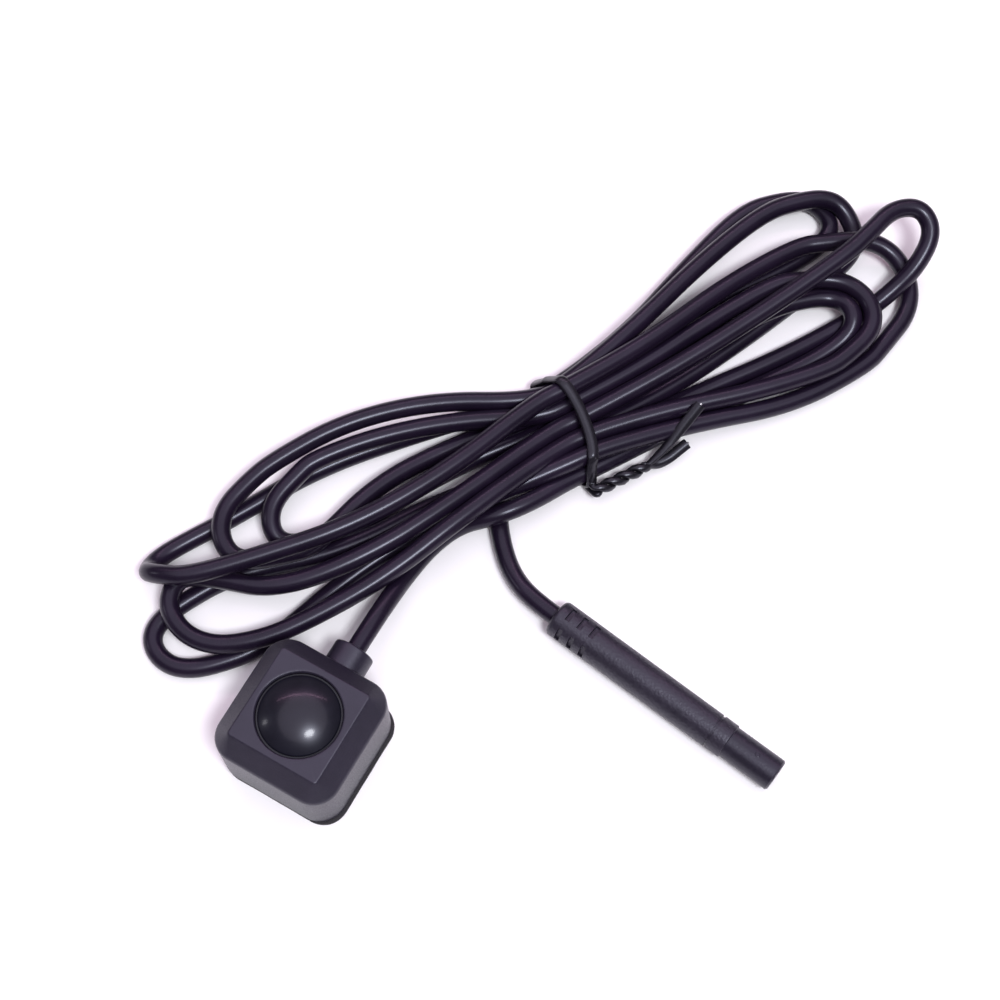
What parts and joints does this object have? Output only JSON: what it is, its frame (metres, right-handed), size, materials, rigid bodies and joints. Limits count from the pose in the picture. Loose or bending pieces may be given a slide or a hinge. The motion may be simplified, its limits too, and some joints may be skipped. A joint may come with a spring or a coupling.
{
  "type": "backup camera",
  "caption": "Square stick-on vehicle backup camera with a domed lens on its bevelled front and a side-exit cable, folded in a tied hank, that ends in a round plug.",
  "frame": {"origin": "centre of the adhesive pad's footprint under the housing, on its sticking face", "axes": "+Z the way the lens looks, away from the sticking face; +Y the way the cable leaves the housing; +X to the right of the cable gland seen from the front with the cable up"},
  "size_m": [0.1192, 0.1629, 0.0194],
  "materials": {
    "housing_plastic": "fine texture, black with a slight purple cast",
    "pad_foam": "black acrylic foam tape",
    "seal_rubber": "black silicone",
    "screw_steel": "zinc plated",
    "board_laminate": "green solder mask",
    "chip_epoxy": "black moulding compound",
    "part_ceramic": "tan ceramic",
    "crystal_can": "drawn can",
    "lens_glass": "coated, dark behind",
    "inner_glass": "clear",
    "filter_glass": "cyan infrared filter",
    "barrel_plastic": "black, low sheen",
    "cable_pvc": "soft black PVC",
    "plug_pvc": "moulded soft PVC, satin",
    "tip_plastic": "hard black plastic",
    "contact_brass": "gold flashed",
    "tie_plastic": "black plastic coating",
    "tie_steel": "soft wire",
    "wire_red_pvc": "red PVC",
    "wire_yellow_pvc": "yellow PVC",
    "wire_white_pvc": "white PVC",
    "wire_black_pvc": "black PVC"
  },
  "bodies": {
    "root": {"front_housing": "housing_plastic", "rear_cover": "housing_plastic", "cover_gasket": "seal_rubber", "cover_screws": "screw_steel", "adhesive_pad": "pad_foam", "circuit_board": "board_laminate", "sensor_package": "part_ceramic", "sensor_glass": "inner_glass", "video_processor": "chip_epoxy", "crystal": "crystal_can", "regulator": "chip_epoxy", "capacitors": "part_ceramic", "lens_holder": "barrel_plastic", "ir_filter": "filter_glass", "holder_screws": "screw_steel", "front_lens": "lens_glass", "lens_barrel": "barrel_plastic", "lens_seal": "seal_rubber", "lens_spacer": "barrel_plastic", "second_element": "inner_glass", "third_element": "inner_glass", "barrel_retainer": "barrel_plastic", "cable_gland": "housing_plastic", "cable_stub": "cable_pvc", "cable_stop": "contact_brass", "wire_red": "wire_red_pvc", "wire_yellow": "wire_yellow_pvc", "wire_white": "wire_white_pvc", "wire_black": "wire_black_pvc", "cable_lead": "cable_pvc", "cable_hank": "cable_pvc", "cable_tail": "cable_pvc", "plug_overmould": "plug_pvc", "plug_stub": "cable_pvc", "plug_ferrule": "contact_brass", "plug_tip": "tip_plastic", "plug_contacts": "contact_brass", "tie_jacket": "tie_plastic", "tie_wire": "tie_steel"}
  },
  "joints": []
}
